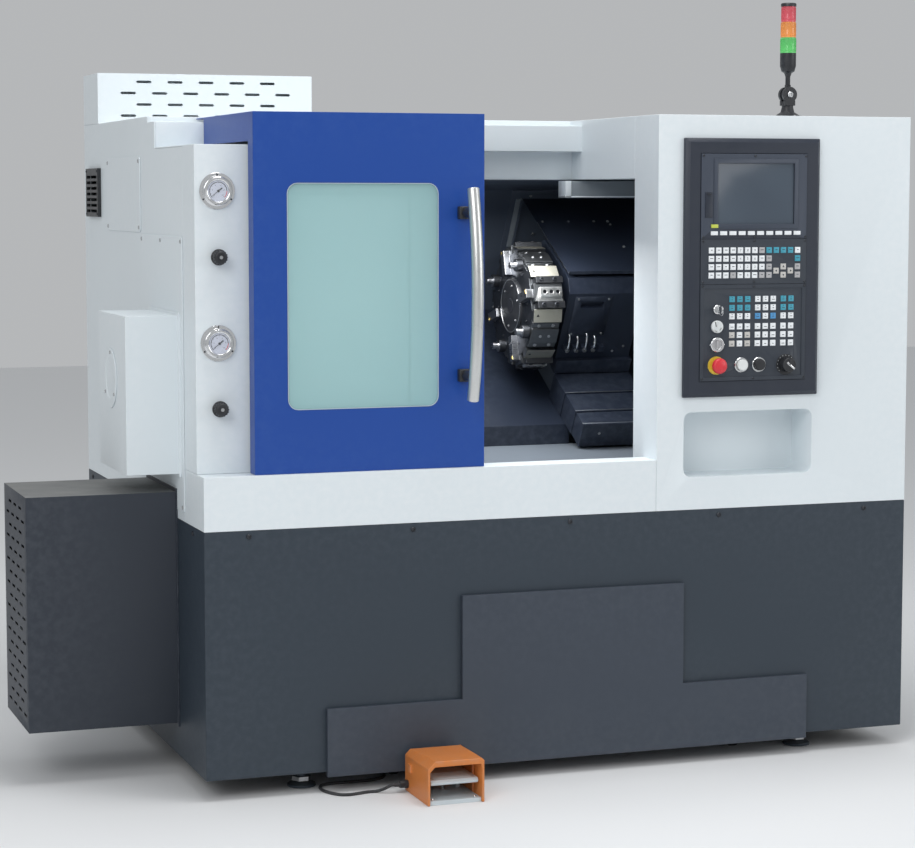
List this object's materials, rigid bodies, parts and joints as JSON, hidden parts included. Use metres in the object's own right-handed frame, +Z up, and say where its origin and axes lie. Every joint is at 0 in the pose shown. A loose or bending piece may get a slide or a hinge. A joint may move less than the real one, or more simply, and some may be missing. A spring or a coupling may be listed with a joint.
{
  "type": "cnc turning lathe",
  "caption": "Slant bed turning centre with a sliding guard door, tool turret, chuck, operator control, coolant tank, signal tower and foot pedal.",
  "frame": {"origin": "on the floor under the middle of the machine's bounding box, cord left out", "axes": "+X to the machine's right side, +Y from the front to the back, +Z up"},
  "size_m": [2.206, 1.61, 1.897],
  "materials": {
    "white_paint": "light grey-white textured powder coat",
    "slate_paint": "dark slate textured powder coat",
    "black_paint": "black powder coat",
    "interior_paint": "dark blue-black paint",
    "blue_paint": "deep blue powder coat",
    "aqua_glass": "tinted laminated glass",
    "steel": "ground steel",
    "dark_steel": "blued steel",
    "chrome": "polished chrome",
    "cast_iron": "painted casting",
    "panel_grey": "dark grey control housing",
    "black_plastic": "black plastic",
    "white_plastic": "white plastic",
    "red_plastic": "red plastic",
    "lens_red": "coloured lens plastic",
    "orange_paint": "orange paint on a casting",
    "tread_grey": "blue-grey paint",
    "rubber": "black rubber"
  },
  "bodies": {
    "machine": {"bar_hole_disc": "white_paint", "base": "slate_paint", "chip_pan": "interior_paint", "control_cabinet": "white_paint", "control_frame": "panel_grey", "coolant_tank": "slate_paint", "display_unit": "panel_grey", "fan_grille": "black_plastic", "front_apron": "white_paint", "gauge_lower": "chrome", "gauge_upper": "chrome", "headstock": "cast_iron", "headstock_cover": "white_paint", "interior_lining": "interior_paint", "keyboard_unit": "panel_grey", "motor_cover": "black_paint", "operator_unit": "panel_grey", "pedal_base": "tread_grey", "pedal_cable": "rubber", "pedal_hood": "orange_paint", "roof_header": "white_paint", "roof_vent": "white_paint", "side_panel_lower": "white_paint", "side_panel_upper": "white_paint", "side_walls": "white_paint", "slant_bed": "cast_iron", "spindle_cover": "white_paint", "spindle_motor": "cast_iron", "tower_foot": "white_plastic", "turret_shroud": "interior_paint"},
    "door": {"door": "blue_paint", "door_window": "aqua_glass", "door_handle": "steel"},
    "tank_wheel_front_left": {"tank_wheel_front_left": "rubber"},
    "tank_wheel_back_left": {"tank_wheel_back_left": "rubber"},
    "tank_wheel_front_right": {"tank_wheel_front_right": "rubber"},
    "tank_wheel_back_right": {"tank_wheel_back_right": "rubber"},
    "spindle": {"spindle": "steel", "chuck_body": "steel"},
    "chuck_jaw_1": {"chuck_jaw_1": "steel"},
    "chuck_jaw_2": {"chuck_jaw_2": "steel"},
    "chuck_jaw_3": {"chuck_jaw_3": "steel"},
    "carriage": {"carriage": "cast_iron", "carriage_cover": "interior_paint"},
    "cover_plate_2": {"cover_plate_2": "interior_paint"},
    "turret_slide": {"turret_slide": "interior_paint", "cover_plate_1": "interior_paint"},
    "turret_disc": {"turret_disc": "dark_steel"},
    "estop_button": {"estop_button": "red_plastic"},
    "white_button": {"white_button": "white_plastic"},
    "black_button": {"black_button": "black_plastic"},
    "override_knob": {"override_knob": "black_plastic"},
    "key_switch": {"key_switch": "chrome"},
    "mode_selector": {"mode_selector": "white_plastic"},
    "ring_switch": {"ring_switch": "chrome"},
    "tower": {"tower_arm": "black_plastic", "tower_lenses": "lens_red"},
    "pedal_treadle": {"pedal_treadle": "tread_grey"},
    "regulator_knob_upper": {"regulator_knob_upper": "black_plastic"},
    "regulator_knob_lower": {"regulator_knob_lower": "black_plastic"}
  },
  "joints": [
    {"name": "door_slide", "type": "slide", "parent": "machine", "child": "door", "axis": [1, 0, 0], "range_m": [0, 0.445]},
    {"name": "spindle_turn", "type": "hinge", "parent": "machine", "child": "spindle", "pos_m": [-0.137, -0.20548, 0.9725], "axis": [1, 0, 0], "continuous": true},
    {"name": "carriage_slide", "type": "slide", "parent": "machine", "child": "carriage", "axis": [1, 0, 0], "range_m": [-0.24, 0]},
    {"name": "turret_cross_slide", "type": "slide", "parent": "carriage", "child": "turret_slide", "axis": [0, -0.866, -0.5], "range_m": [0, 0.12]},
    {"name": "cover_plate_follow", "type": "slide", "parent": "carriage", "child": "cover_plate_2", "axis": [0, -0.866, -0.5], "range_m": [0, 0.054]},
    {"name": "turret_index", "type": "hinge", "parent": "turret_slide", "child": "turret_disc", "pos_m": [0.353, 0.05, 1.12], "axis": [1, 0, 0], "continuous": true},
    {"name": "jaw_slide_1", "type": "slide", "parent": "spindle", "child": "chuck_jaw_1", "axis": [0, 0, 1], "range_m": [-0.0027, 0.0027]},
    {"name": "jaw_slide_2", "type": "slide", "parent": "spindle", "child": "chuck_jaw_2", "axis": [0, -0.866, -0.5], "range_m": [-0.0027, 0.0027]},
    {"name": "jaw_slide_3", "type": "slide", "parent": "spindle", "child": "chuck_jaw_3", "axis": [0, 0.866, -0.5], "range_m": [-0.0027, 0.0027]},
    {"name": "tank_wheel_front_left_turn", "type": "hinge", "parent": "machine", "child": "tank_wheel_front_left", "pos_m": [-0.237, -0.47, 0.0225], "axis": [1, 0, 0], "continuous": true},
    {"name": "tank_wheel_back_left_turn", "type": "hinge", "parent": "machine", "child": "tank_wheel_back_left", "pos_m": [-0.237, 0.26, 0.0225], "axis": [1, 0, 0], "continuous": true},
    {"name": "tank_wheel_front_right_turn", "type": "hinge", "parent": "machine", "child": "tank_wheel_front_right", "pos_m": [0.683, -0.47, 0.0225], "axis": [1, 0, 0], "continuous": true},
    {"name": "tank_wheel_back_right_turn", "type": "hinge", "parent": "machine", "child": "tank_wheel_back_right", "pos_m": [0.683, 0.26, 0.0225], "axis": [1, 0, 0], "continuous": true},
    {"name": "estop_press", "type": "slide", "parent": "machine", "child": "estop_button", "axis": [0, 1, 0], "range_m": [0, 0.006]},
    {"name": "white_button_press", "type": "slide", "parent": "machine", "child": "white_button", "axis": [0, 1, 0], "range_m": [0, 0.004], "stiffness_N_per_m": 500},
    {"name": "black_button_press", "type": "slide", "parent": "machine", "child": "black_button", "axis": [0, 1, 0], "range_m": [0, 0.004], "stiffness_N_per_m": 500},
    {"name": "override_knob_turn", "type": "hinge", "parent": "machine", "child": "override_knob", "pos_m": [0.747, -0.62, 0.995], "axis": [0, 1, 0], "range_deg": [-150, 150]},
    {"name": "key_switch_turn", "type": "hinge", "parent": "machine", "child": "key_switch", "pos_m": [0.556, -0.62, 1.135], "axis": [0, 1, 0], "range_deg": [0, 90]},
    {"name": "mode_selector_turn", "type": "hinge", "parent": "machine", "child": "mode_selector", "pos_m": [0.556, -0.62, 1.0925], "axis": [0, 1, 0], "range_deg": [-45, 45]},
    {"name": "ring_switch_turn", "type": "hinge", "parent": "machine", "child": "ring_switch", "pos_m": [0.556, -0.62, 1.048], "axis": [0, 1, 0], "range_deg": [-45, 45]},
    {"name": "tower_fold", "type": "hinge", "parent": "machine", "child": "tower", "pos_m": [0.803, -0.505, 1.6683], "axis": [0, 1, 0], "range_deg": [-90, 90]},
    {"name": "treadle_press", "type": "hinge", "parent": "machine", "child": "pedal_treadle", "pos_m": [-0.19, -0.68, 0.042], "axis": [1, 0, 0], "range_deg": [0, 8], "stiffness_Nm_per_rad": 8},
    {"name": "regulator_upper_turn", "type": "hinge", "parent": "machine", "child": "regulator_knob_upper", "pos_m": [-0.683, -0.533, 1.272], "axis": [0, 1, 0], "range_deg": [-360, 360]},
    {"name": "regulator_lower_turn", "type": "hinge", "parent": "machine", "child": "regulator_knob_lower", "pos_m": [-0.683, -0.533, 0.9185], "axis": [0, 1, 0], "range_deg": [-360, 360]}
  ],
  "couplings": [
    {"joint": "jaw_slide_2", "follows": "jaw_slide_1", "ratio": 1},
    {"joint": "jaw_slide_3", "follows": "jaw_slide_1", "ratio": 1},
    {"joint": "cover_plate_follow", "follows": "turret_cross_slide", "ratio": 0.45}
  ]
}
